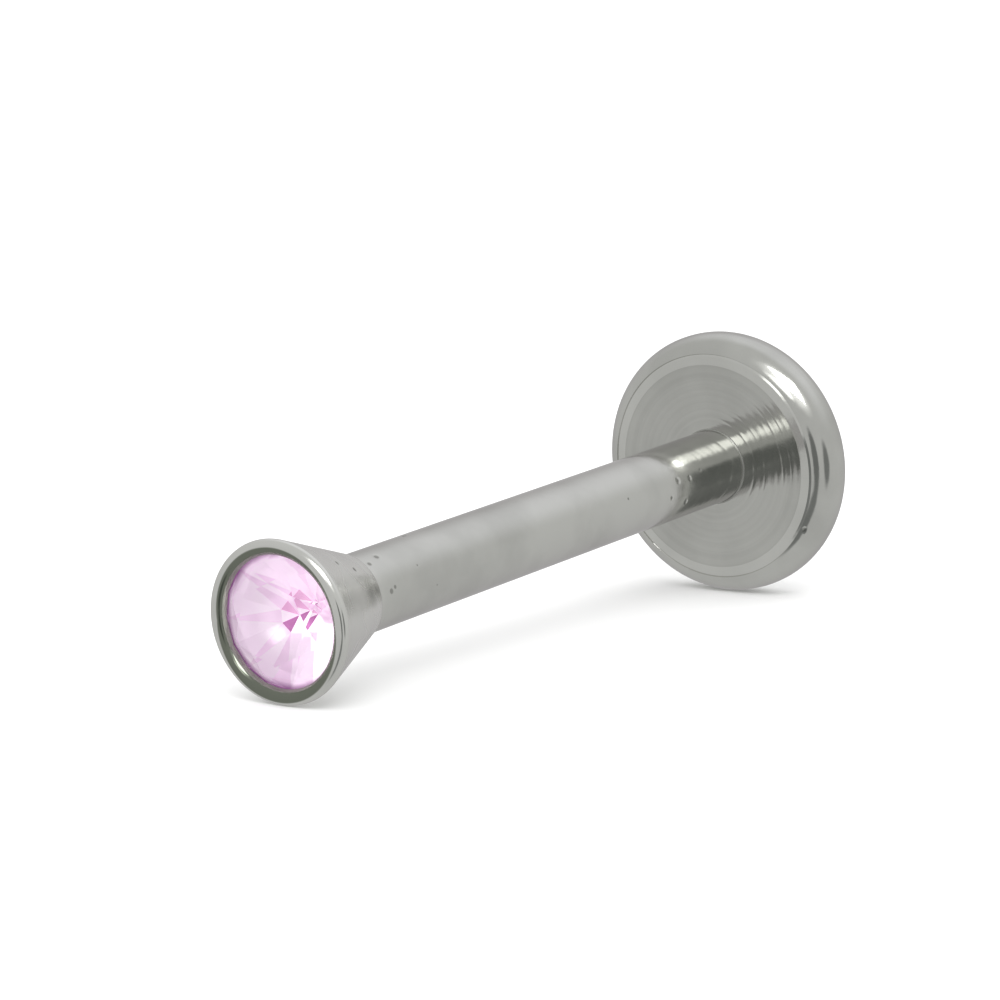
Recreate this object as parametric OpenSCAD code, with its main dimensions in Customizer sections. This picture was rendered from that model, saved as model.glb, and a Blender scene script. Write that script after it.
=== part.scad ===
// Labret stud in millimetres: a thin post that grows out of a round-edged disc, and a flared cup with a
// cut crystal whose threaded stem goes into the post's hollow end. It lies on its side, as it comes to
// rest by itself: on the rim of the disc, at +X, and on the rim of the cup, at -X.

/* [Post] */
// Diameter of the post, 16 gauge
post_d = 1.2; // [1.0:0.05:1.6]
// Length of the post between the disc and the cup
post_l = 10; // [5:0.5:14]
// Wall of the post round its bore
post_wall = 0.14; // [0.1:0.01:0.2]
// Bevel on the post's open end, outside and at the mouth of the bore
post_bevel = 0.03; // [0.01:0.005:0.04]
// Fillet where the post grows out of the disc
root_r = 0.02; // [0.01:0.01:0.2]

/* [Disc] */
// Diameter of the disc
disc_d = 4.3; // [3.4:0.1:6]
// Thickness of the disc
disc_t = 0.95; // [0.6:0.05:1.4]
// Width of the straight band round the disc's rounded rim
disc_band = 0.05; // [0.02:0.01:0.2]

/* [Crystal] */
// Diameter of the crystal at its girdle
crystal_d = 2.0; // [1.8:0.05:2.4]
// Diameter of the crystal's flat table, across its corners
table_d = 1.2; // [0.9:0.05:1.4]
// Height of the crown, from the girdle up to the table
crown_h = 0.25; // [0.18:0.01:0.4]
// Thickness of the girdle
girdle_t = 0.05; // [0.03:0.01:0.1]
// Depth of the pavilion, from the girdle down to its point
pavilion_h = 0.86; // [0.7:0.02:1.0]
// Sides of the table, each with a main facet above and below the girdle
crystal_sides = 8; // [8:1:12]

/* [Cup] */
// Metal round the crystal at the rim
rim_wall = 0.18; // [0.14:0.01:0.3]
// Height of the turned-over rim above the girdle
rim_h = 0.17; // [0.12:0.01:0.25]
// How far the rim reaches in over the edge of the crystal
rim_over = 0.035; // [0.02:0.005:0.06]
// Rounding of the rim's outer edge
rim_r = 0.1; // [0.05:0.01:0.12]
// Rounding of the rim's inner edge, where the rim leaves room for it
rim_in_r = 0.12; // [0.03:0.01:0.14]
// Solid metal between the crystal's pocket and the foot of the cup
cup_floor = 0.53; // [0.2:0.01:0.8]
// How far the foot of the cup stands out past the post, all round
foot_step = 0.08; // [0.05:0.01:0.25]
// Rounding of the edge of the cup's foot
foot_r = 0.06; // [0.03:0.01:0.1]

/* [Stem] */
// Length of the threaded stem below the cup
stem_l = 1.6; // [1:0.1:3]
// Pitch of the stem's thread
thread_pitch = 0.25; // [0.2:0.025:0.35]
// Depth of the stem's thread
thread_h = 0.1; // [0.06:0.01:0.12]
// Height of the slope at the stem's tip
tip_bevel = 0.1; // [0.04:0.01:0.15]

/* [Clearances] */
// Gap all round between the thread and the bore
stem_gap = 0.03; // [0.02:0.01:0.06]
// Depth of the bore past the stem's tip
bore_extra = 0.25; // [0.1:0.05:1]
// Gap between the foot of the cup and the post's end
seat_gap = 0.02; // [0.01:0.005:0.04]
// Gap between the crystal and its pocket
crystal_gap = 0.02; // [0.01:0.005:0.04]

/* [Lying] */
// How far the stud is turned about its own axis as it lies
roll = 48; // [0:0.5:90]

/* [Hidden] */
$fn = 96;

steel = [0.74, 0.75, 0.72];
pink = [0.93, 0.80, 0.91];

// Radii of the post, its bore and the disc's flat faces
post_r = post_d / 2;
bore_r = post_r - post_wall;
disc_edge_r = (disc_t - disc_band) / 2;
disc_flat_r = disc_d / 2 - disc_edge_r;

// Heights in the cup, from its foot: the crystal's point, its girdle's lower and upper edge, the rim
crystal_r = crystal_d / 2;
table_r = table_d / 2;
half_turn = 180 / crystal_sides;
// How far in the lower corners between the main facets lie, as a share of the girdle's radius
low_share = 0.25;
// How far out the upper corners between the main facets lie, from the table to the girdle
star_share = 0.5;
low_bulge = low_share * pavilion_h * (1 - cos(half_turn));
pocket_drop = crystal_gap / cos(atan2(pavilion_h, crystal_r)) + low_bulge;
point_z = cup_floor + pocket_drop;
girdle_low_z = point_z + pavilion_h;
girdle_top_z = girdle_low_z + girdle_t;
cup_h = girdle_top_z + rim_h;
table_z = girdle_top_z + crown_h;

// Radii of the cup and its pocket
pocket_r = crystal_r + crystal_gap;
cup_r = pocket_r + rim_wall;
foot_d = post_d + 2 * foot_step;
mouth_r = crystal_r - rim_over;
// How far the crown climbs under the rim, and the rounding that fits between there and the rim's top
crown_rise = crown_h * rim_over / (crystal_r - table_r);
lip_room = min(rim_h - crystal_gap - crown_rise, cup_r - rim_r - mouth_r) - 0.005;
lip_r = min(rim_in_r, lip_room);

// Radii of the stem's thread, and the sides and rows its surface is drawn with
thread_r = bore_r - stem_gap;
thread_root_r = thread_r - thread_h;
thread_sides = 20;
// Heights of the thread's four edges as shares of the pitch, and how far out each lies
thread_edges = [0, 0.25, 0.5625, 0.6875];
thread_out = [0, 0, 1, 1];
thread_rows = 4 * (ceil(stem_l / thread_pitch) + 2);
// How far the stem's top runs up into the metal of the cup
stem_root = 0.1;

// How the stud lies: the slope of its axis, with both rims on the surface, and the shift that
// brings the middle of the bottom of its box to the origin
seat_z = post_l + seat_gap;
rim_z = seat_z + cup_h - rim_r;
rims_rise = disc_flat_r - (cup_r - rim_r);
rims_run = disc_edge_r + rim_z;
lie_angle = atan2(rims_rise, rims_run) + asin((disc_edge_r - rim_r) / norm([rims_rise, rims_run]));
lift = disc_flat_r * cos(lie_angle) + disc_edge_r - disc_edge_r * sin(lie_angle);
tail_x = (disc_t - disc_edge_r) * cos(lie_angle) + disc_flat_r * sin(lie_angle) + disc_edge_r;
rim_nose_x = rim_z * cos(lie_angle) + (cup_r - rim_r) * sin(lie_angle) + rim_r;
table_nose_x = (seat_z + table_z) * cos(lie_angle) + table_r * sin(lie_angle);
nose_x = max(rim_nose_x, table_nose_x);

// Lays down what is drawn upright, with the disc's inner face at z = 0 and the cup on top
module lying() {
    translate([(nose_x - tail_x) / 2, 0, lift])
        rotate([0, -(90 + lie_angle), 0])
            rotate([0, 0, roll])
                children();
}

// Half section of the disc: flat faces and a rim rounded on both edges
module disc_section() {
    translate([0, -disc_t])
        square([disc_flat_r, disc_t]);
    translate([0, -disc_edge_r - disc_band])
        square([disc_d / 2, disc_band]);
    for (z = [-disc_edge_r, disc_edge_r - disc_t])
        translate([disc_flat_r, z])
            circle(r = disc_edge_r);
}

// The ring of metal in the corner between the post and the disc
module root_fillet() {
    difference() {
        translate([post_r, 0])
            square(root_r);
        translate([post_r + root_r, root_r])
            circle(r = root_r);
    }
}

module labret_post() {
    bore_l = stem_l + bore_extra;
    color(steel)
        lying()
            rotate_extrude()
                difference() {
                    union() {
                        disc_section();
                        square([post_r, post_l]);
                        root_fillet();
                    }
                    translate([0, post_l - bore_l])
                        square([bore_r, bore_l + 1]);
                    polygon([
                        [post_r - post_bevel, post_l],
                        [post_r, post_l - post_bevel],
                        [post_r + 1, post_l],
                        [post_r, post_l + 1],
                    ]);
                    polygon([
                        [bore_r - post_bevel, post_l - 2 * post_bevel],
                        [bore_r, post_l - post_bevel],
                        [bore_r + post_bevel, post_l],
                        [bore_r - post_bevel, post_l + 1],
                    ]);
                }
}

// Half section of the cup's outside: a foot, a straight flare that touches both roundings, and a rim
module cup_section() {
    foot_c = [foot_d / 2 - foot_r, foot_r];
    rim_c = [cup_r - rim_r, cup_h - rim_r];
    rise = rim_c - foot_c;
    out = atan2(rise.y, rise.x) - acos((foot_r - rim_r) / norm(rise));
    side = [cos(out), sin(out)];
    polygon([
        [0, 0],
        [foot_c.x, 0],
        foot_c + foot_r * side,
        rim_c + rim_r * side,
        [rim_c.x, cup_h],
        [0, cup_h],
    ]);
    translate(foot_c)
        circle(r = foot_r);
    translate(rim_c)
        circle(r = rim_r);
}

// Half section of the crystal's pocket: a cone under the pavilion, a wall round the girdle, and the
// mouth that the rim closes to
module pocket_section() {
    under_z = girdle_top_z + crystal_gap;
    polygon([
        [0, cup_floor],
        [pocket_r, cup_floor + pavilion_h * pocket_r / crystal_r],
        [pocket_r, under_z],
        [mouth_r, under_z + crown_rise],
        [mouth_r, cup_h - lip_r],
        [mouth_r + lip_r, cup_h],
        [mouth_r + lip_r, cup_h + 1],
        [0, cup_h + 1],
    ]);
    difference() {
        translate([mouth_r, cup_h - lip_r])
            square(lip_r);
        translate([mouth_r + lip_r, cup_h - lip_r])
            circle(r = lip_r);
    }
}

// One corner of the thread's surface: side i round the stem, row j up it
function thread_corner(i, j, z0) =
    let (
        z = z0 + thread_pitch * (floor(j / 4) + thread_edges[j % 4] + i / thread_sides),
        full_r = thread_root_r + thread_h * thread_out[j % 4],
        r = min(full_r, thread_root_r + max(0, z + stem_l - tip_bevel / 2) * thread_h / tip_bevel),
        a = 360 * i / thread_sides
    )
    [r * cos(a), r * sin(a), z];

// A right-hand thread as one closed surface. Its rows follow the helix, so side n joins row j of the
// last side to row j + 4 of the first, and a fan to a point on the axis closes each end.
module thread_body() {
    n = thread_sides;
    m = thread_rows;
    z0 = -stem_l - thread_pitch;
    row = m + 1;
    corners = [for (i = [0:n - 1]) for (j = [0:m]) thread_corner(i, j, z0)];
    low_point = len(corners);
    top_point = low_point + 1;
    ends = [[0, 0, z0], [0, 0, z0 + thread_pitch * (m / 4 + 1)]];
    low_loop = concat([for (i = [0:n - 1]) i * row], [for (j = [4:-1:1]) j]);
    top_loop = concat([for (i = [0:n - 1]) i * row + m], [for (j = [1:4]) n * row - 1 - j]);
    walls = [for (i = [0:n - 2]) for (j = [0:m - 1])
        let (a = i * row + j, b = a + row)
        each [[a, a + 1, b], [a + 1, b + 1, b]]];
    seam = [for (j = [0:m - 5])
        let (a = (n - 1) * row + j, b = j + 4)
        each [[a, a + 1, b], [a + 1, b + 1, b]]];
    low_fan = [for (k = [0:len(low_loop) - 1])
        [low_point, low_loop[k], low_loop[(k + 1) % len(low_loop)]]];
    top_fan = [for (k = [0:len(top_loop) - 1])
        [top_point, top_loop[(k + 1) % len(top_loop)], top_loop[k]]];
    polyhedron(concat(corners, ends), concat(walls, seam, low_fan, top_fan));
}

// The stem: the thread cut off flat at its tip and inside the foot of the cup
module stem() {
    intersection() {
        thread_body();
        translate([0, 0, -stem_l])
            cylinder(r = post_r, h = stem_l + stem_root);
    }
}

module gem_cup() {
    color(steel)
        lying()
            translate([0, 0, seat_z]) {
                rotate_extrude()
                    difference() {
                        cup_section();
                        pocket_section();
                    }
                stem();
            }
}

// One ring of corners, n of them, turned by a number of half steps
function ring(n, r, z, turn) =
    [for (i = [0:n - 1]) let (a = 360 * i / n + turn * half_turn) [r * cos(a), r * sin(a), z]];

// A round stone with a table, star, main and edge facets above the girdle, and main and edge facets
// below it. The corners between two main facets lie in the planes of both.
module crystal() {
    s = crystal_sides;
    star_r = table_r + star_share * (crystal_r - table_r);
    star_z = table_z - crown_h * (star_r * cos(half_turn) - table_r) / (crystal_r - table_r);
    low_r = low_share * crystal_r;
    low_z = point_z + pavilion_h * low_r * cos(half_turn) / crystal_r;
    table = ring(s, table_r, table_z, 0);
    star = ring(s, star_r, star_z, 1);
    girdle_top = ring(2 * s, crystal_r, girdle_top_z, 0);
    girdle_low = ring(2 * s, crystal_r, girdle_low_z, 0);
    low = ring(s, low_r, low_z, 1);
    st = s;
    gt = 2 * s;
    gl = 4 * s;
    lo = 6 * s;
    tip = 7 * s;
    crown = [for (i = [0:s - 1]) let (k = (i + 1) % s, h = (i + s - 1) % s, g = 2 * i, e = (2 * i + 2) % (2 * s))
        each [
            [i, k, st + i],
            [i, gt + g, st + h],
            [i, st + i, gt + g],
            [st + i, gt + g + 1, gt + g],
            [st + i, gt + e, gt + g + 1],
        ]];
    girdle = [for (g = [0:2 * s - 1]) let (e = (g + 1) % (2 * s))
        each [[gt + g, gt + e, gl + g], [gt + e, gl + e, gl + g]]];
    pavilion = [for (i = [0:s - 1]) let (h = (i + s - 1) % s, g = 2 * i, e = (2 * i + 2) % (2 * s))
        each [
            [tip, lo + h, gl + g],
            [tip, gl + g, lo + i],
            [lo + i, gl + g, gl + g + 1],
            [lo + i, gl + g + 1, gl + e],
        ]];
    color(pink)
        lying()
            translate([0, 0, seat_z])
                polyhedron(
                    concat(table, star, girdle_top, girdle_low, low, [[0, 0, point_z]]),
                    concat([[for (i = [s - 1:-1:0]) i]], crown, girdle, pavilion)
                );
}

labret_post();
gem_cup();
crystal();
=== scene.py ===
# Labret stud lying on a pale floor: a polished steel post that grows out of a round-edged disc,
# and a flared cup with a pink crystal whose threaded stem screws into the post.
# The pieces are drawn in millimetres along the stud's own axis, and layDown turns them into metres.
import math
import random

import bpy
from mathutils import Matrix, Vector


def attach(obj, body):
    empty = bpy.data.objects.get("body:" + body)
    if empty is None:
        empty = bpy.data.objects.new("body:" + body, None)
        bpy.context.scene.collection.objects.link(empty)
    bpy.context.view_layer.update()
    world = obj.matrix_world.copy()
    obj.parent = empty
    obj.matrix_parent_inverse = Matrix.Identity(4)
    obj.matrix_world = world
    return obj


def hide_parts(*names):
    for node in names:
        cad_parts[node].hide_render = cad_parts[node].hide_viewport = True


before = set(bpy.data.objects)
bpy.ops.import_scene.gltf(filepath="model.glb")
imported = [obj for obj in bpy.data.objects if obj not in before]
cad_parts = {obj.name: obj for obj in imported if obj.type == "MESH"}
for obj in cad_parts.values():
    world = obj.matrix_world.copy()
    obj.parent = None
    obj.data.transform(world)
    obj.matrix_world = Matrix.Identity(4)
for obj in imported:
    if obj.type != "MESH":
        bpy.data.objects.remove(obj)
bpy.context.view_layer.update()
mm = 0.001
print("stud: frame loaded with", ", ".join(sorted(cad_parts)))


# The camera of the photograph, as it stands over the floor

cameraView = {
    "place": (-49.3003, -33.4969, 10.8105),  # all lengths here are in mm
    "looksAlong": (0.814587, 0.562102, -0.143140),
    "lens": 142.2048,
    "sensor": 36.0,
    "nearest": 5.0,
    "furthest": 3000.0,
}


def placeCamera(setup):
    data = bpy.data.cameras.new("studCamera")
    data.lens = setup["lens"]
    data.sensor_width = setup["sensor"]
    data.clip_start = setup["nearest"] * mm
    data.clip_end = setup["furthest"] * mm
    camera = bpy.data.objects.new("studCamera", data)
    camera.location = Vector(setup["place"]) * mm
    camera.rotation_mode = "QUATERNION"
    camera.rotation_quaternion = Vector(setup["looksAlong"]).to_track_quat("-Z", "Y")
    bpy.context.scene.collection.objects.link(camera)
    bpy.context.scene.camera = camera


placeCamera(cameraView)
print("stud: camera placed")


# How the stud lies: height 0 is the disc's inner face, and heights grow along the post to the crystal

lying = {
    "zero": (5.340476, 0.0, 2.109218),  # mm, the middle of the disc's inner face
    "slope": 4.523126,  # degrees, the post's rise towards the disc
    "roll": 3.0,  # degrees about its own axis; the crystal's eight sides come round every 45
}

layDown = (
    Matrix.Translation(Vector(lying["zero"]) * mm)
    @ Matrix.Rotation(math.radians(-90 - lying["slope"]), 4, "Y")
    @ Matrix.Rotation(math.radians(lying["roll"]), 4, "Z")
    @ Matrix.Scale(mm, 4)
)
studZero = layDown.to_translation()
studAxis = (layDown.to_3x3() @ Vector((0, 0, 1))).normalized()
studUp = (layDown.to_3x3() @ Vector((1, 0, 0))).normalized()  # across the post, nearly straight up
slack = 1e-4  # mm, closer than this counts as the same height or radius


def onCircle(radius, angle):
    return radius * math.cos(angle), radius * math.sin(angle)


def ringOf(count, radius, height, turn=0.0):
    return [(*onCircle(radius, 2 * math.pi * i / count + turn), height) for i in range(count)]


def arc(centre, radius, start, end, count):
    # points (radius, height) of a rounding in a half section, angles in degrees from straight out
    points = []
    for i in range(count + 1):
        out, up = onCircle(radius, math.radians(start + (end - start) * i / count))
        points.append((centre[0] + out, centre[1] + up))
    return points


def straight(start, end, count):
    # points of a straight run, without its first one
    return [tuple(a + (b - a) * i / count for a, b in zip(start, end)) for i in range(1, count + 1)]


def anglesRound(fineSide, fine, coarse):
    # angles of a turn, closer together on the fine side, which is given in degrees
    start, end = (math.radians(t) for t in fineSide)
    rest = 2 * math.pi - (end - start)
    close = [start + (end - start) * i / fine for i in range(fine)]
    return close + [end + rest * i / coarse for i in range(coarse)]


def fan(tip, ring, around):
    # faces between a tip and a ring, both given by the numbers of their points
    return [(tip, ring + i, ring + (i + 1) % around) for i in range(around)]


def band(low, high, around):
    # faces between two rings
    return [(low + i, low + (i + 1) % around, high + (i + 1) % around, high + i) for i in range(around)]


def addMesh(name, verts, faces):
    mesh = bpy.data.meshes.new(name)
    mesh.from_pydata(verts, [], faces)
    thing = bpy.data.objects.new(name, mesh)
    bpy.context.scene.collection.objects.link(thing)
    return thing


def turnOnLathe(name, section, angles, shape):
    # turns a half section, which starts and ends on the axis, into one closed mesh;
    # shape(radius, height, angle) gives a point's own radius and height
    rings, around = section[1:-1], len(angles)
    verts = [(0.0, 0.0, section[0][1])]
    for radius, height in rings:
        for angle in angles:
            r, h = shape(radius, height, angle)
            verts.append((*onCircle(r, angle), h))
    verts.append((0.0, 0.0, section[-1][1]))
    starts = [1 + j * around for j in range(len(rings))]
    faces = [(tip, after, this) for tip, this, after in fan(0, starts[0], around)]  # these face down
    for low, high in zip(starts, starts[1:]):
        faces += band(low, high, around)
    faces += fan(len(verts) - 1, starts[-1], around)
    piece = addMesh(name, verts, faces)
    piece.data.transform(layDown)
    piece.data.validate()
    return piece


def smoothUpTo(piece, degrees):
    # smooth surfaces that break at edges sharper than this
    piece.data.shade_smooth()
    piece.data.set_sharp_from_angle(angle=math.radians(degrees))


# The post and the disc, one piece of steel

post = {
    "radius": 0.6,
    "length": 10.0,
    "endBevel": 0.03,
    "root": 0.02,  # fillet where the post grows out of the disc
    "boreRadius": 0.46,
    "boreDepth": 1.85,
    "grooveDepth": 0.035,  # of the thread cut into the bore
    "grooveGrows": 0.08,  # over this length below the mouth
    "grooveFades": 0.15,  # over this length above the bottom
    "pitch": 0.25,
    "threadStart": 0.625,  # turns
    "discRadius": 2.15,
    "discThickness": 0.95,
    "discBand": 0.05,  # plain band between the two roundings of the rim
    "faceRadius": 1.69,  # the turned face, which ends at a narrow polished bevel
    "faceMargin": 0.01,  # no turned rings so close to its edges
    "faceSink": 0.004,  # deeper than any of the rings
    "bevelTurn": 20.8,  # degrees of the rim's rounding that the bevel cuts off
    "bevelLine": ((0.009, 0.011), (0.018, -0.003)),  # the fine line there: in and down from the rim
    "bevelEnd": (0.01, -0.0016),  # out and up from the edge of the face
    "bevelWidth": 0.165,  # its finish goes this far out
    "bevelSink": 0.032,  # and down
    "nickFrom": -0.2,  # heights on the rim between which a nick can be
    "nickTo": -0.03,
    "nickWay": (0.5, 0.87),  # in and down
    "fineSide": (-124, 12),  # degrees
    "fine": 100,
    "coarse": 74,
    "rows": ((1.0, 10), (2.4, 70), (8.2, 34), (8.5, 16), (9.2, 16), (9.82, 38)),  # height, rings up to it
    "smoothUpTo": 7,  # degrees
}

# turned rings on the disc's face: radius, width, depth
faceRings = [
    (0.81, 0.020, 0.0016),
    (0.93, 0.040, 0.0006),
    (1.01, 0.018, 0.0012),
    (1.12, 0.050, 0.0009),
    (1.24, 0.030, 0.0007),
    (1.355, 0.022, 0.0018),
    (1.43, 0.030, 0.0007),
    (1.51, 0.018, 0.0014),
    (1.61, 0.030, 0.0010),
]

# small pits in the polish: height on the stud, angle round it, distance from its axis, size, depth
postPits = [
    (9.57, -28, 0.6, 0.050, 0.012),
    (9.70, -84, 0.6, 0.050, 0.012),
    (9.60, -80, 0.6, 0.036, 0.009),
    (9.84, -36, 0.6, 0.044, 0.010),
    (8.48, 1, 0.6, 0.046, 0.011),
    (8.95, -62, 0.6, 0.018, 0.004),
    (8.60, -98, 0.6, 0.016, 0.003),
    (1.94, -75, 0.6, 0.034, 0.010),
    (1.60, -77, 0.6, 0.030, 0.008),
    (2.18, -97, 0.6, 0.026, 0.007),
    (1.72, -112, 0.6, 0.028, 0.007),
    (1.25, -71, 0.6, 0.022, 0.006),
    (5.20, 210, 0.6, 0.026, 0.007),
    (3.40, 285, 0.6, 0.028, 0.007),
    (8.10, 150, 0.6, 0.030, 0.008),
    (6.60, 120, 0.6, 0.024, 0.006),
    (-0.055, -122, 1.915, 0.046, 0.010),  # a nick in the rim
]
cupPits = [
    (10.97, -41, 0.99, 0.046, 0.010),
    (10.56, -48, 0.86, 0.046, 0.010),
    (11.20, 150, 1.06, 0.034, 0.008),
]
pitForm = {
    "reach": 3,  # in its own sizes
    "falloff": 1.3,
}

# shares of half a pitch, from the middle of the groove; the crest takes the rest
threadForm = {
    "groove": 0.24,
    "flank": 0.5,
}


def markPoint(mark):
    height, degrees, radius = mark[:3]
    return Vector((*onCircle(radius, math.radians(degrees)), height))


def sunk(pits, radius, height, angle):
    # how deep the pits sink the surface at a point
    depth = 0.0
    for pit in pits:
        size, deepest = pit[3:]
        if abs(height - pit[0]) < pitForm["reach"] * size:
            away = (markPoint(pit) - Vector((*onCircle(radius, angle), height))).length / size
            depth += deepest * math.exp(-away * away * pitForm["falloff"])
    return depth


def threadWave(turns):
    # 0 in the groove and 1 on the crest, with straight flanks and short flat lands
    share = turns - math.floor(turns)
    slope = abs(share - 0.5) * 2
    return min(1.0, max(0.0, (slope - threadForm["groove"]) / threadForm["flank"]))


def softStep(x):
    x = min(1.0, max(0.0, x))
    return x * x * (3 - 2 * x)


def shapePost(radius, height, angle):
    p = post
    if abs(radius - p["boreRadius"]) < slack:
        grown = softStep((p["length"] - p["endBevel"] - height) / p["grooveGrows"])
        fade = grown * softStep((height - p["length"] + p["boreDepth"]) / p["grooveFades"])
        wave = threadWave(height / p["pitch"] - angle / (2 * math.pi) + p["threadStart"])
        return radius + p["grooveDepth"] * wave * fade, height
    ringed = p["radius"] + p["root"] + p["faceMargin"] < radius < p["faceRadius"] - p["faceMargin"]
    if abs(height) < slack and ringed:
        cut = sum(depth * math.exp(-(((radius - at) / width) ** 2)) for at, width, depth in faceRings)
        return radius, height - cut
    if abs(radius - p["radius"]) < slack:
        radius -= sunk(postPits, radius, height, angle)
    elif p["nickFrom"] < height < p["nickTo"]:
        depth = sunk(postPits, radius, height, angle)
        radius, height = radius - p["nickWay"][0] * depth, height - p["nickWay"][1] * depth
    return radius, height


def postSection():
    # from the middle of the disc's back, over its rim and up the post, to the bottom of the bore
    p = post
    hub, boreHub = 0.02, 0.03  # the smallest rings round the axis
    edge = (p["discThickness"] - p["discBand"]) / 2  # radius of the rim's roundings
    flat = p["discRadius"] - edge
    back = -p["discThickness"]
    end = p["length"]
    mouth = end - p["endBevel"]
    bore = p["boreRadius"]
    bottom = end - p["boreDepth"]
    points = [(0.0, back), (hub, back)]
    points += straight((hub, back), (flat, back), 12)
    points += arc((flat, back + edge), edge, -90, 0, 18)[1:]
    points += arc((flat, -edge), edge, 0, 90 - p["bevelTurn"], 44)
    lineLow, lineHigh = [(points[-1][0] - inward, points[-1][1] - down) for inward, down in p["bevelLine"]]
    points += [lineLow]
    points += straight(lineHigh, (p["faceRadius"] + p["bevelEnd"][0], p["bevelEnd"][1]), 6)
    points += straight((p["faceRadius"], 0.0), (p["radius"] + p["root"], 0.0), 156)
    points += arc((p["radius"] + p["root"], p["root"]), p["root"], 270, 180, 4)[1:]
    along = p["root"]
    for upTo, count in (*p["rows"], (mouth, 6)):
        points += straight((p["radius"], along), (p["radius"], upTo), count)
        along = upTo
    points += straight((p["radius"], mouth), (p["radius"] - p["endBevel"], end), 2)
    points += straight((p["radius"] - p["endBevel"], end), (bore + p["endBevel"], end), 2)
    points += straight((bore + p["endBevel"], end), (bore, mouth), 2)
    points += straight((bore, mouth), (bore, bottom), 84)
    points += straight((bore, bottom), (boreHub, bottom), 3)
    points += [(0.0, bottom)]
    return points


postAngles = anglesRound(post["fineSide"], post["fine"], post["coarse"])
labretPost = turnOnLathe("labretPost", postSection(), postAngles, shapePost)
smoothUpTo(labretPost, post["smoothUpTo"])
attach(labretPost, "post")
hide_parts("labret_post")
print("stud: post and disc turned,", len(labretPost.data.polygons), "faces")


# The cup and its threaded stem, one piece of steel; heights here start at the cup's foot

cup = {
    "seat": 10.02,  # height of the foot on the stud
    "radius": 1.2,
    "height": 1.652745,
    "rimRound": 0.1,
    "rimInnerRound": 0.12,
    "footRadius": 0.68,
    "footRound": 0.06,
    "wallDepth": 0.05,  # how far inside a straight line to the rim the wall may lie
    "mouth": 0.965,
    "pocket": 1.02,
    "pocketFloor": 0.53,
    "pocketTop": 1.502745,
    "pocketShoulder": 0.021875,
    "pocketSlope": 0.86,  # of its cone, the same as the crystal's pavilion
    "perHalf": 96,  # points in half a turn
    "stemLength": 1.6,
    "threadRadius": 0.43,
    "threadDepth": 0.1,
    "pitch": 0.25,
    "threadStart": 0.125,  # turns
    "tipBevel": 0.1,
    "tipInset": 0.06,  # the tip's end is this much smaller than the thread's root
    "tipFlat": 0.2,  # radius in which the end is plain
    "neck": 0.04,  # plain length of stem under the foot
    "neckGrows": 0.09,  # length over which the thread grows below it
    "smoothUpTo": 32,  # degrees
}


def shapeCup(radius, height, angle):
    c = cup
    low = height - c["seat"]
    if radius > c["footRadius"] and c["footRound"] < low < c["height"] - c["rimRound"]:
        return radius - sunk(cupPits, radius, height, angle), height
    if low > -slack or radius < c["tipFlat"]:
        return radius, height
    wave = threadWave(height / c["pitch"] - angle / (2 * math.pi) + c["threadStart"])
    fade = softStep((-low - c["neck"]) / c["neckGrows"])
    root = c["threadRadius"] - c["threadDepth"]
    full = root + c["threadDepth"] * wave * fade
    bevelled = max(0.0, low + c["stemLength"]) / c["tipBevel"] * (c["tipInset"] + c["threadDepth"])
    return min(full, root - c["tipInset"] + bevelled), height


def cupSection():
    # from the tip of the stem, round the foot, the wall and the rim, to the bottom of the pocket
    c = cup
    hub = 0.03  # the smallest ring round the axis
    tip = -c["stemLength"]
    root = c["threadRadius"] - c["threadDepth"]
    footMiddle = (c["footRadius"] - c["footRound"], c["footRound"])
    rimMiddle = (c["radius"] - c["rimRound"], c["height"] - c["rimRound"])
    rise = (rimMiddle[0] - footMiddle[0], rimMiddle[1] - footMiddle[1])
    lean = math.acos((c["footRound"] - c["rimRound"]) / math.hypot(*rise))
    out = math.degrees(math.atan2(rise[1], rise[0]) - lean)  # the way that the wall faces
    rim = arc(rimMiddle, c["rimRound"], out, 90, 18)
    lip = c["mouth"] + c["rimInnerRound"]
    points = [(0.0, tip), (hub, tip)]
    points += straight((hub, tip), (root - c["tipInset"], tip), 3)
    points += straight((root, tip), (root, 0.0), 170)
    points += straight((root, 0.0), (footMiddle[0], 0.0), 4)
    points += arc(footMiddle, c["footRound"], -90, out, 8)[1:]
    points += straight(points[-1], rim[0], 20)
    points += rim[1:]
    points += straight((rimMiddle[0], c["height"]), (lip, c["height"]), 3)
    points += arc((lip, c["height"] - c["rimInnerRound"]), c["rimInnerRound"], 90, 180, 14)[1:]
    points += straight(points[-1], (c["mouth"], c["pocketTop"] + c["pocketShoulder"]), 2)
    points += straight(points[-1], (c["pocket"], c["pocketTop"]), 2)
    points += straight(points[-1], (c["pocket"], c["pocketFloor"] + c["pocketSlope"] * c["pocket"]), 2)
    points += straight(points[-1], (hub, c["pocketFloor"] + hub * c["pocketSlope"]), 8)
    points += [(0.0, c["pocketFloor"])]
    return [(r, h + c["seat"]) for r, h in points]


cupAngles = anglesRound((0, 180), cup["perHalf"], cup["perHalf"])
gemCup = turnOnLathe("gemCup", cupSection(), cupAngles, shapeCup)
smoothUpTo(gemCup, cup["smoothUpTo"])
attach(gemCup, "head")
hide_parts("gem_cup")
print("stud: cup and stem turned,", len(gemCup.data.polygons), "faces")


# The crystal, a round stone cut with a table, a crown and a pavilion

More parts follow.
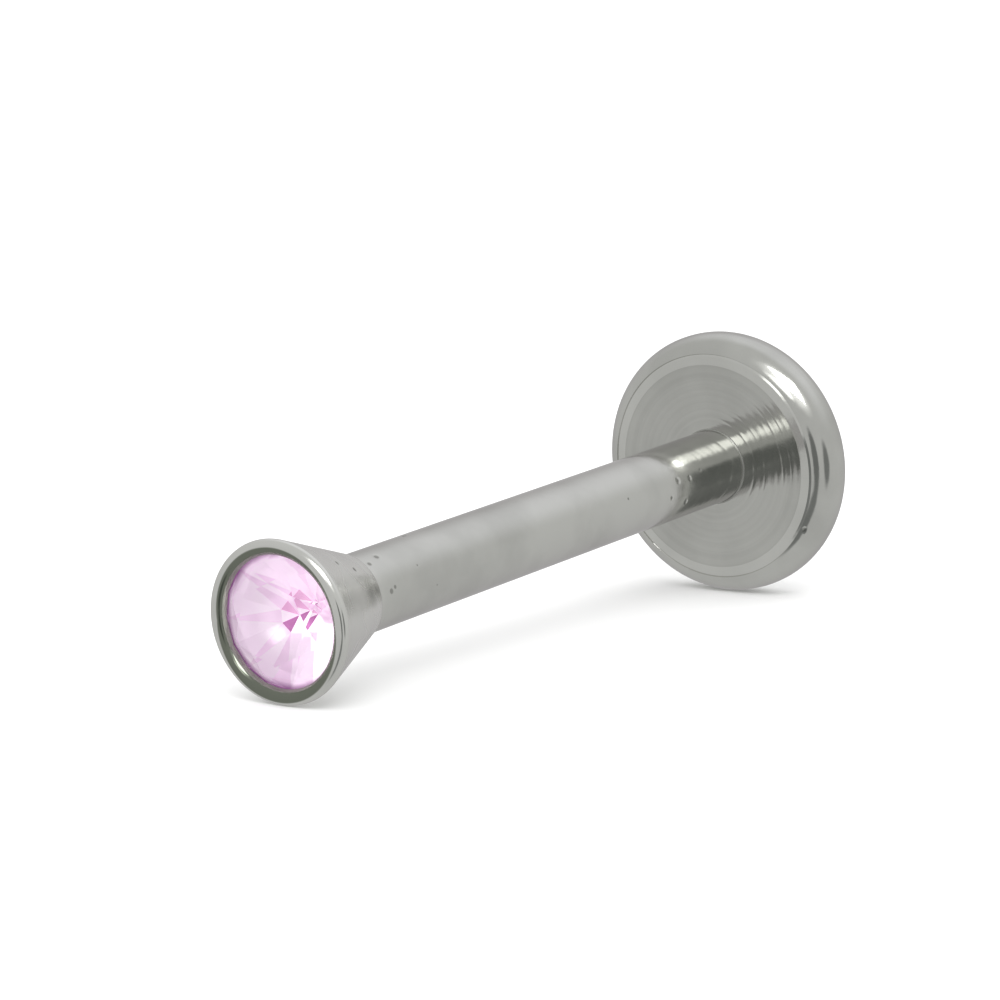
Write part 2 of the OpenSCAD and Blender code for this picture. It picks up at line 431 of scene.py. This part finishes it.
crystal = {
    "radius": 1.0,
    "tableRadius": 0.6,
    "crown": 0.25,  # heights of its three parts
    "girdle": 0.05,
    "pavilion": 0.86,
    "point": 0.572738,  # height of its point over the cup's foot
    "sides": 8,
    "lowShare": 0.25,  # the facets round the point go out to this share of the radius
    "starShare": 0.5,  # the star facets go this far from the table to the girdle
    "tones": ("glass", "pale", "rosy", "deep", "bright", "warm"),  # in the order of its materials
    "tipTones": ("pale", "warm", "pale", "deep", "bright", "bright", "pale", "rosy"),  # round the point; the deep and warm ones make two dark pink marks, painted reflections of dark surroundings
    "drawnTones": (("pale", "pale", "rosy"), ("pale", "rosy"), ("pale", "pale", "rosy")),  # for the rest
    "highlightFacet": 5,  # the main facet below the girdle, with the halves beside it, which bear a painted highlight in the bright foil
    "seed": 7,
}


def cutCrystal():
    c = crystal
    sides = c["sides"]
    half = math.pi / sides
    crownWidth = c["radius"] - c["tableRadius"]
    point = cup["seat"] + c["point"]
    girdleLow = point + c["pavilion"]
    girdleTop = girdleLow + c["girdle"]
    table = girdleTop + c["crown"]
    starRadius = c["tableRadius"] + c["starShare"] * crownWidth
    starHeight = table - c["crown"] * (starRadius * math.cos(half) - c["tableRadius"]) / crownWidth
    lowRadius = c["lowShare"] * c["radius"]
    lowHeight = point + c["pavilion"] * lowRadius * math.cos(half) / c["radius"]
    verts = (
        ringOf(sides, c["tableRadius"], table)
        + ringOf(sides, starRadius, starHeight, half)
        + ringOf(2 * sides, c["radius"], girdleTop)
        + ringOf(2 * sides, c["radius"], girdleLow)
        + ringOf(sides, lowRadius, lowHeight, half)
        + [(0.0, 0.0, point)]
    )
    star, top, low, lower, tip = (n * sides for n in (1, 2, 4, 6, 7))  # where each ring's points start
    faces = [tuple(range(sides))]
    for i in range(sides):
        after, before, main, nextMain = (i + 1) % sides, (i - 1) % sides, 2 * i, (2 * i + 2) % (2 * sides)
        faces += [
            (i, star + i, after),
            (i, star + before, top + main),
            (i, top + main, star + i),
            (star + i, top + main, top + main + 1),
            (star + i, top + main + 1, top + nextMain),
        ]
    tones = ["glass"] * len(faces)
    # the girdle's faces take the deep foil, a painted shade and reflection along the crystal's edge
    for this in range(2 * sides):
        after = (this + 1) % (2 * sides)
        faces.append((top + this, low + this, low + after, top + after))
        tones.append("deep")
    pick = random.Random(c["seed"])
    for i in range(sides):
        before, main, nextMain = (i - 1) % sides, 2 * i, (2 * i + 2) % (2 * sides)
        faces += [
            (tip, lower + i, lower + before),
            (lower + i, low + main, lower + before),
            (lower + i, low + main + 1, low + main),
            (lower + i, low + nextMain, low + main + 1),
        ]
        around = [pick.choice(among) for among in c["drawnTones"]]  # a main facet and its two halves
        # a painted highlight on this facet and its halves, and on one half of the facet before it
        if i == c["highlightFacet"]:
            around = ["bright"] * 3
        elif i == c["highlightFacet"] - 1:
            around[2] = "bright"
        tones += [c["tipTones"][i]] + around
    piece = addMesh("pinkCrystal", verts, faces)
    for face, tone in zip(piece.data.polygons, tones):
        face.material_index = c["tones"].index(tone)
    piece.data.transform(layDown)
    return piece


pinkCrystal = cutCrystal()
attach(pinkCrystal, "head")
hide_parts("crystal")
print("stud: crystal cut,", len(pinkCrystal.data.polygons), "facets")


# Finishes, in metres and per metre

steelFinish = {
    "color": (0.735, 0.740, 0.710, 1),
    "dull": (0.645, 0.650, 0.622, 1),  # in the clouds of the polish
    "grazing": (0.80, 0.78, 0.80, 1),
    "roughLow": 0.07,
    "roughHigh": 0.16,
    "cloudSize": 700.0,
    "cloudDetail": 4.0,
    "cloudLevels": (0.40, 0.62),  # the noise goes from bright to dull between these
    "mottleSize": 2200.0,  # waves in the polish
    "mottleDetail": 2.0,
    "mottleHeight": 0.0000032,
    "mottleLevels": (0.35, 0.7),  # and from smooth to rough between these
    "hairSize": 9000.0,
    "hairDetail": 2.0,
    "hairHeight": 0.0000006,
    "rings": None,
    "paintedShade": None,
    "darkSpots": (),  # dark soft spots, placed as the pits are: height, angle, distance, size
    "pits": (),  # marks with a dark bottom
}
darkSpotPaint = {
    "color": (0.42, 0.43, 0.40, 1),
    "full": 0.0,  # a share of the mark's size
    "most": 0.75,
}
pitPaint = {
    "color": (0.40, 0.405, 0.38, 1),
    "full": 0.6,
    "most": 1.0,
}

# fine rings of the lathe on the disc's face
latheRings = {
    "height": 0.0000012,
    "size": 9.0,  # rings in a millimetre, about
    "detail": 2.0,
    "levels": (0.35, 0.65),
    "dulling": 0.3,  # the rings' share of what is dull
    "clouding": 0.7,  # and that of the clouds
}

# painted shade in the seam between the cup's lip and the crystal, wider at the top of the rim and widest
# at the bottom
seamShadePaint = {
    "color": (0.24, 0.26, 0.215, 1),
    "starts": 0.001056,  # distances from the stud's axis
    "full": 0.001038,
    "widening": 0.043,  # for each metre above the axis, and twice that below it
}

# the disc's face is turned and darker, a painted shade; the bevel is lighter, a painted highlight, and the
# root darker, a painted shade in the crease; the cup is lighter, painted light, with a brushed wall that
# is lighter still, and a lip with painted shade in the seam inside
postFinish = dict(steelFinish, pits=postPits)
# a darker copy of the steel: painted shade on the disc's face, with real turned rings
shadedTurnedFinish = dict(
    steelFinish,
    color=(0.675, 0.680, 0.650, 1),
    dull=(0.570, 0.575, 0.548, 1),
    rings=latheRings,
)
# a lighter copy of the steel: a painted highlight on the bevel ring
litBevelFinish = dict(steelFinish, color=(0.79, 0.795, 0.765, 1), dull=(0.72, 0.725, 0.695, 1))
# a darker copy of the steel: painted shade in the crease where the post grows out of the disc; its higher
# roughness is real
shadedRootFinish = dict(
    steelFinish,
    color=(0.48, 0.485, 0.46, 1),
    dull=(0.40, 0.405, 0.38, 1),
    roughLow=0.3,
    roughHigh=0.4,
)
# a lighter copy of the steel on the cup: painted light
litCupFinish = dict(steelFinish, color=(0.87, 0.875, 0.845, 1), dull=(0.79, 0.795, 0.765, 1))
# lighter still on the wall, painted light; its rougher brushed finish and its pits are real
litBrushedFinish = dict(
    litCupFinish,
    color=(0.94, 0.945, 0.915, 1),
    dull=(0.85, 0.855, 0.825, 1),
    roughLow=0.22,
    roughHigh=0.34,
    mottleDetail=0.5,
    pits=cupPits,
    darkSpots=((10.40, -76, 0.82, 0.24), (10.16, -74, 0.74, 0.14)),
)
seamShadedFinish = dict(litCupFinish, paintedShade=seamShadePaint)


def addNode(tree, kind, inputs, **settings):
    # adds a node, sets it up, and sets or links its inputs
    node = tree.nodes.new("ShaderNode" + kind)
    for name, value in settings.items():
        setattr(node, name, value)
    for name, value in inputs.items():
        if isinstance(value, bpy.types.NodeSocket):
            tree.links.new(value, node.inputs[name])
        else:
            node.inputs[name].default_value = value
    return node


def reckon(tree, operation, *values):
    return addNode(tree, "Math", dict(enumerate(values)), operation=operation).outputs["Value"]


def reckonVector(tree, operation, *values):
    node = addNode(tree, "VectorMath", dict(enumerate(values)), operation=operation)
    return node.outputs["Vector" if operation in ("SUBTRACT", "CROSS_PRODUCT") else "Value"]


def carryOver(tree, value, start, end, low=0.0, high=1.0, **settings):
    # carries a number from one range over to another, and holds it there
    ranges = {"Value": value, "From Min": start, "From Max": end, "To Min": low, "To Max": high}
    return addNode(tree, "MapRange", ranges, **settings).outputs["Result"]


def mixColors(tree, first, second, share):
    inputs = {"A": first, "B": second, "Factor": share}
    return addNode(tree, "Mix", inputs, data_type="RGBA").outputs["Result"]


def addNoise(tree, size, detail, place, **settings):
    return addNode(tree, "TexNoise", {"Scale": size, "Detail": detail, **place}, **settings).outputs["Fac"]


def addBump(tree, height, distance, **under):
    return addNode(tree, "Bump", {"Height": height, "Distance": distance, **under}).outputs["Normal"]


def placeOn(tree, kind):
    return tree.nodes.new("ShaderNodeTexCoord").outputs[kind]


def newMaterial(name, values):
    # a material with these plain values on its shader
    material = bpy.data.materials.new(name)
    material.use_nodes = True
    for socket, value in values.items():
        material.node_tree.nodes["Principled BSDF"].inputs[socket].default_value = value
    return material


def linkToShader(tree, results):
    for socket, result in results.items():
        tree.links.new(result, tree.nodes["Principled BSDF"].inputs[socket])


def offAxis(tree, place):
    # the distance from the stud's own axis
    arm = reckonVector(tree, "SUBTRACT", place, studZero)
    return reckonVector(tree, "LENGTH", reckonVector(tree, "CROSS_PRODUCT", arm, studAxis))


def paintSpot(tree, color, place, mark, paint):
    # a round spot that starts at the mark's own size
    size = mark[3]
    away = reckonVector(tree, "DISTANCE", place, layDown @ markPoint(mark))
    near = carryOver(tree, away, size * mm, paint["full"] * size * mm, 0.0, paint["most"])
    return mixColors(tree, color, paint["color"], near)


# paints shade into the seam inside the cup's lip, wider above the stud's axis and twice as wide below it
def paintSeamShade(tree, color, place, paintedShade):
    arm = reckonVector(tree, "SUBTRACT", place, studZero)
    up = reckonVector(tree, "DOT_PRODUCT", arm, studUp)
    wider = reckon(tree, "SUBTRACT", reckon(tree, "ABSOLUTE", up), reckon(tree, "MINIMUM", up, 0.0))
    edge = reckon(tree, "MULTIPLY_ADD", wider, -paintedShade["widening"], offAxis(tree, place))
    inside = carryOver(tree, edge, paintedShade["starts"], paintedShade["full"])
    return mixColors(tree, color, paintedShade["color"], inside)


def makeSteel(name, finish):
    material = newMaterial(name, {"Metallic": 1.0, "Specular Tint": finish["grazing"]})
    tree = material.node_tree
    place = placeOn(tree, "Object")
    cloud, mottle, hair = (
        addNoise(tree, finish[kind + "Size"], finish[kind + "Detail"], {"Vector": place})
        for kind in ("cloud", "mottle", "hair")
    )
    dullness = carryOver(tree, cloud, *finish["cloudLevels"])
    rough = carryOver(tree, mottle, *finish["mottleLevels"], finish["roughLow"], finish["roughHigh"])
    waves = addBump(tree, mottle, finish["mottleHeight"])
    relief = addBump(tree, hair, finish["hairHeight"], Normal=waves)
    if finish["rings"]:
        rings = finish["rings"]
        radius = reckon(tree, "MULTIPLY", offAxis(tree, place), 1 / mm)
        turned = addNoise(tree, rings["size"], rings["detail"], {"W": radius}, noise_dimensions="1D")
        relief = addBump(tree, turned, rings["height"], Normal=relief)
        clouded = reckon(tree, "MULTIPLY", dullness, rings["clouding"])
        ringed = carryOver(tree, turned, *rings["levels"], 0.0, rings["dulling"])
        dullness = reckon(tree, "ADD", clouded, ringed)
    color = mixColors(tree, finish["color"], finish["dull"], dullness)
    # painted shade in the lip's seam
    if finish["paintedShade"]:
        color = paintSeamShade(tree, color, place, finish["paintedShade"])
    for darkSpot in finish["darkSpots"]:
        color = paintSpot(tree, color, place, darkSpot, darkSpotPaint)
    for pit in finish["pits"]:
        color = paintSpot(tree, color, place, pit, pitPaint)
    linkToShader(tree, {"Base Color": color, "Roughness": rough, "Normal": relief})
    return material


crystalFinish = {
    "color": (1.0, 0.975, 0.99, 1),
    "bend": 1.52,  # index of refraction
    "foils": {  # color and glow of the backing behind the facets; the glow is painted light, as the backing is no lamp
        "pale": ((0.93, 0.83, 0.925, 1), 0.22),
        "rosy": ((0.87, 0.70, 0.85, 1), 0.22),
        "deep": ((0.50, 0.18, 0.42, 1), 0.22),
        # the bright foil is a painted highlight, with a stronger glow
        "bright": ((1.0, 0.96, 1.0, 1), 0.55),
        "warm": ((0.68, 0.38, 0.58, 1), 0.22),
    },
    "girdleShadeTone": (0.30, 0.10, 0.30, 1),  # painted shade and reflection next to the girdle
    "edgeFrom": 0.00082,  # distances from the stud's axis
    "edgeTo": 0.00096,
    "metal": 0.55,
    "rough": 0.30,
    "crinkleSize": 3000.0,
    "crinkleDetail": 3.0,
    "crinkle": 0.000006,
}


def makeCrystal(name, finish):
    return newMaterial(name, {
        "Base Color": finish["color"],
        "Roughness": 0.0,
        "IOR": finish["bend"],
        "Transmission Weight": 1.0,
    })


def makeFoil(name, finish, color, glow):
    # the backing on the crystal's pavilion, bright with a painted glow, and darker next to the girdle with
    # painted shade and reflection
    material = newMaterial(name, {
        "Metallic": finish["metal"],
        "Roughness": finish["rough"],
        "Emission Strength": glow,
    })
    tree = material.node_tree
    place = placeOn(tree, "Object")
    edge = carryOver(tree, offAxis(tree, place), finish["edgeFrom"], finish["edgeTo"])
    tone = mixColors(tree, color, finish["girdleShadeTone"], edge)
    spots = addNoise(tree, finish["crinkleSize"], finish["crinkleDetail"], {"Vector": place})
    crinkle = addBump(tree, spots, finish["crinkle"])
    linkToShader(tree, {"Base Color": tone, "Emission Color": tone, "Normal": crinkle})
    return material


# Which faces have which finish: each test takes a face's middle, in mm on the stud

faceting = 0.001  # a face's middle may lie this far inside the ring that it is on


def onFace(radius, height):
    return abs(height) < post["faceSink"] and post["radius"] + post["root"] < radius < post["faceRadius"]


def onBevel(radius, height):
    return height > -post["bevelSink"] and 0 < radius - post["faceRadius"] < post["bevelWidth"]


def onRoot(radius, height):
    reach = post["root"] * 1.5  # a little past the fillet
    return -faceting < height < reach and radius < post["radius"] + reach


def onWall(radius, height):
    low = height - cup["seat"]
    wall = cup["footRadius"] + (cup["radius"] - cup["footRadius"]) * low / cup["height"]
    return cup["footRound"] < low < cup["height"] - cup["rimRound"] and radius > wall - cup["wallDepth"]


def onLip(radius, height):
    return height - cup["seat"] > cup["pocketTop"] and radius > cup["mouth"] - faceting


def finishPart(piece, material, belongs):
    # gives another finish to the faces that the test says belong to it
    back = layDown.inverted()
    piece.data.materials.append(material)
    slot = len(piece.data.materials) - 1
    for face in piece.data.polygons:
        middle = back @ face.center
        if belongs(math.hypot(middle.x, middle.y), middle.z):
            face.material_index = slot


labretPost.data.materials.append(makeSteel("polishedSteel", postFinish))
finishPart(labretPost, makeSteel("shadedTurnedSteel", shadedTurnedFinish), onFace)
finishPart(labretPost, makeSteel("litBevelSteel", litBevelFinish), onBevel)
finishPart(labretPost, makeSteel("shadedRootSteel", shadedRootFinish), onRoot)
gemCup.data.materials.append(makeSteel("litCupSteel", litCupFinish))
finishPart(gemCup, makeSteel("litBrushedSteel", litBrushedFinish), onWall)
finishPart(gemCup, makeSteel("seamShadedSteel", seamShadedFinish), onLip)
pinkCrystal.data.materials.append(makeCrystal("pinkCrystalGlass", crystalFinish))
for tone in crystal["tones"][1:]:
    foil = makeFoil(tone + "Foil", crystalFinish, *crystalFinish["foils"][tone])
    pinkCrystal.data.materials.append(foil)
print("stud: finishes on")


# The pale floor and the light

studio = {
    "tentRadius": 0.6,  # metres, as the other lengths here
    "tentRows": 6,
    "tentAround": 24,
    "tentColor": (0, 0, 0, 1),  # all its light is its own
    "tentGlow": 1.25,
    "tentRays": ("camera", "diffuse", "transmission"),
    "sheetRadius": 0.03,
    "floorHeight": -0.000002,
    "floorAround": 96,
    "floorColor": (0.94, 0.94, 0.94, 1),
    "floorRays": ("camera", "diffuse", "transmission", "shadow"),  # the steel mirrors the tent instead
}

# what the steel mirrors: a grey tent, a little lighter at the top and to the right
greyTent = {
    "middle": 0.550,
    "lighter": (0.010, -0.010, 0.030),  # towards +X, +Y and +Z
    "tint": (1.0, 1.0, 0.985, 1),
}

# soft patches in it: middle as azimuth and elevation, half width and height as sines, lean in degrees,
# softness of the edge, color
tentPatches = [
    {"middle": (62.0, 14.0), "wide": 0.55, "tall": 0.40, "soft": 1.2, "color": (0.58, 0.58, 0.57, 1)},
    {"middle": (90.0, 58.0), "wide": 0.70, "tall": 0.45, "soft": 0.9, "color": (0.76, 0.76, 0.77, 1)},
    {"middle": (-126.0, 43.0), "wide": 0.42, "tall": 0.28, "soft": 0.7, "color": (1.12, 1.12, 1.10, 1)},
    {"middle": (-103.0, 30.0), "wide": 0.19, "tall": 0.12, "soft": 0.6, "color": (2.0, 2.0, 1.95, 1)},
    {"middle": (-123.0, -9.0), "wide": 0.19, "tall": 0.31, "soft": 0.4, "color": (0.18, 0.185, 0.18, 1)},
    {"middle": (-109.0, -36.0), "wide": 0.38, "tall": 0.18, "soft": 0.5, "color": (0.20, 0.205, 0.20, 1),
     "lean": -32},
    {"middle": (-167.0, -6.0), "wide": 0.20, "tall": 0.26, "soft": 0.6, "color": (0.21, 0.215, 0.21, 1)},
]

softbox = {
    "azimuth": -132.0,
    "elevation": 48.0,
    "distance": 0.35,  # metres
    "size": (0.20, 0.13),
    "bright": 3.6,
}


def towards(azimuth, elevation):
    # azimuth 0 is +Y and 90 is +X
    a, e = math.radians(azimuth), math.radians(elevation)
    return Vector((math.sin(a) * math.cos(e), math.cos(a) * math.cos(e), math.sin(e)))


def plainMaterial(name, color, glow):
    material = newMaterial(name, {
        "Base Color": color,
        "Roughness": 0.9,
        "Specular IOR Level": 0.0,
        "Emission Color": (1, 1, 1, 1),
        "Emission Strength": glow,
    })
    material.cycles.emission_sampling = "NONE"
    return material


def addStage(name, verts, faces, color, glow, rays):
    # a piece of the studio, which only these rays meet
    thing = addMesh(name, verts, faces)
    thing.data.materials.append(plainMaterial(name, color, glow))
    for kind in ("camera", "diffuse", "glossy", "transmission", "volume_scatter", "shadow"):
        setattr(thing, "visible_" + kind, kind in rays)


def layFloor():
    # a pale sheet under the stud, and a self-lit one as white as it round about
    s = studio
    around = s["floorAround"]
    inner = ringOf(around, s["sheetRadius"], s["floorHeight"])
    outer = ringOf(around, s["tentRadius"], s["floorHeight"])
    addStage("paleFloor", inner, [tuple(range(around))], s["floorColor"], 0.0, s["floorRays"])
    ring = band(0, around, around)
    addStage("whiteTable", inner + outer, ring, s["tentColor"], s["tentGlow"], s["floorRays"])


def pitchTent():
    # a white dome that lights the floor and shows through the crystal
    s = studio
    rows, around = s["tentRows"], s["tentAround"]
    verts, faces = [], []
    for j in range(rows):
        out, up = onCircle(s["tentRadius"], math.pi / 2 * j / rows)
        verts += ringOf(around, out, up)
    for j in range(rows - 1):
        faces += band(j * around, (j + 1) * around, around)
    faces += fan(len(verts), (rows - 1) * around, around)
    verts.append((0, 0, s["tentRadius"]))
    addStage("whiteTent", verts, faces, s["tentColor"], s["tentGlow"], s["tentRays"])


def hangSoftbox():
    data = bpy.data.lights.new("softbox", "AREA")
    data.shape = "RECTANGLE"
    data.size, data.size_y = softbox["size"]
    data.energy = softbox["bright"] * math.pi * data.size * data.size_y
    lamp = bpy.data.objects.new("softbox", data)
    direction = towards(softbox["azimuth"], softbox["elevation"])
    lamp.location = direction * softbox["distance"]
    lamp.rotation_mode = "QUATERNION"
    lamp.rotation_quaternion = direction.to_track_quat("Z", "Y")
    lamp.visible_camera = False
    bpy.context.scene.collection.objects.link(lamp)


def lightWorld():
    # the grey tent that the steel mirrors, with its soft patches
    world = bpy.data.worlds.new("greyTent")
    bpy.context.scene.world = world
    world.use_nodes = True
    tree = world.node_tree
    place = placeOn(tree, "Generated")

    def along(direction):
        return reckonVector(tree, "DOT_PRODUCT", place, direction)

    level = reckon(tree, "ADD", along(greyTent["lighter"]), greyTent["middle"])
    color = mixColors(tree, (0, 0, 0, 1), greyTent["tint"], level)
    for patch in tentPatches:
        middle = towards(*patch["middle"])
        flat = middle.cross(Vector((0, 0, 1))).normalized()
        lean = math.radians(patch.get("lean", 0))
        side = flat * math.cos(lean) + flat.cross(middle) * math.sin(lean)
        rise = side.cross(middle).normalized()
        across = reckon(tree, "MULTIPLY", along(side), 1 / patch["wide"])
        upward = reckon(tree, "MULTIPLY", along(rise), 1 / patch["tall"])
        squares = (reckon(tree, "MULTIPLY", part, part) for part in (across, upward))
        away = reckon(tree, "SQRT", reckon(tree, "ADD", *squares))
        edge = patch["soft"] / 2
        inside = carryOver(tree, away, 1 + edge, 1 - edge, interpolation_type="SMOOTHSTEP")
        front = reckon(tree, "GREATER_THAN", along(middle), 0.0)
        color = mixColors(tree, color, patch["color"], reckon(tree, "MULTIPLY", inside, front))
    tree.links.new(color, tree.nodes["Background"].inputs["Color"])


layFloor()
pitchTent()
hangSoftbox()
lightWorld()
bpy.context.scene.view_settings.view_transform = "Standard"
print("stud: floor and light ready")

bpy.context.view_layer.update()
